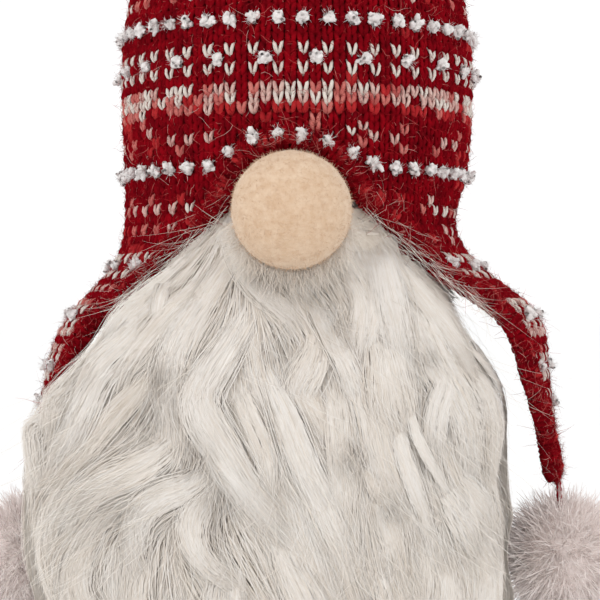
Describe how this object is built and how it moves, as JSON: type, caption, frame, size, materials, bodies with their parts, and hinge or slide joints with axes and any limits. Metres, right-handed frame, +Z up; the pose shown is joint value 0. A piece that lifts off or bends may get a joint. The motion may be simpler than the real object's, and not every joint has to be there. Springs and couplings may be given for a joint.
{
  "type": "tomte gnome figurine",
  "caption": "Stuffed, weighted gnome with a long fur beard, a felt ball nose and a knitted ear-flap hat with soft pompoms; the flaps, pompoms and hat top move.",
  "frame": {"origin": "middle of the round base, on the surface that the figure stands on", "axes": "+Z up; the face, nose and beard look along -Y; +X is the right side as seen from the front"},
  "size_m": [0.219, 0.1521, 0.528],
  "materials": {
    "body_plush": "short plush, soft grey",
    "card": "stiff grey-brown card",
    "lining_cloth": "thin woven red cloth",
    "pellets": "loose plastic pellets",
    "fibre_filling": "loose polyester fibre",
    "thread": "strong sewing thread",
    "nose_felt": "brushed felt",
    "backing_cloth": "woven fur backing",
    "beard_fur": "long silky fur pile",
    "hat_knit": "stocking-stitch knit in variegated yarn",
    "hem_knit": "folded plain knit hem",
    "pompom_fur": "fluffy fur"
  },
  "bodies": {
    "gnome": {"base_cloth": "body_plush", "base_disc": "card", "pellet_bag": "lining_cloth", "pellet_fill": "pellets", "body_cloth": "body_plush", "body_stuffing": "fibre_filling", "body_gather_thread": "thread", "nose_cover": "nose_felt", "nose_stuffing": "fibre_filling", "nose_gather_thread": "thread", "beard_backing": "backing_cloth", "beard_pile": "beard_fur", "beard_seam_thread": "thread", "hat_crown": "hat_knit", "hat_hem_front": "hem_knit", "hat_hem_back": "hem_knit", "hat_stuffing": "fibre_filling", "hat_seam_thread": "thread"},
    "hat_top": {"hat_tip": "hat_knit", "hat_tip_stuffing": "fibre_filling", "tip_pompom": "pompom_fur", "tip_pompom_tie": "thread"},
    "flap_left": {"ear_flap_left": "hat_knit", "ear_flap_edge_left": "hem_knit", "ear_flap_lining_left": "lining_cloth"},
    "pompom_left": {"flap_pompom_left": "pompom_fur", "pompom_tie_left": "thread"},
    "flap_right": {"ear_flap_right": "hat_knit", "ear_flap_edge_right": "hem_knit", "ear_flap_lining_right": "lining_cloth"},
    "pompom_right": {"flap_pompom_right": "pompom_fur", "pompom_tie_right": "thread"}
  },
  "joints": [
    {"name": "hat_top_bend", "type": "hinge", "parent": "gnome", "child": "hat_top", "pos_m": [0, 0, 0.385], "axis": [0, 1, 0], "range_deg": [-35, 35], "stiffness_Nm_per_rad": 0.16},
    {"name": "flap_left_swing", "type": "hinge", "parent": "gnome", "child": "flap_left", "pos_m": [-0.058, -0.004, 0.2255], "axis": [0, 1, 0], "range_deg": [0, 75]},
    {"name": "pompom_left_swing", "type": "hinge", "parent": "flap_left", "child": "pompom_left", "pos_m": [-0.0855, -0.01, 0.146], "axis": [0, 1, 0], "range_deg": [-15, 60]},
    {"name": "flap_right_swing", "type": "hinge", "parent": "gnome", "child": "flap_right", "pos_m": [0.058, -0.004, 0.2255], "axis": [0, -1, 0], "range_deg": [0, 75]},
    {"name": "pompom_right_swing", "type": "hinge", "parent": "flap_right", "child": "pompom_right", "pos_m": [0.0855, -0.01, 0.146], "axis": [0, -1, 0], "range_deg": [-15, 60]}
  ]
}
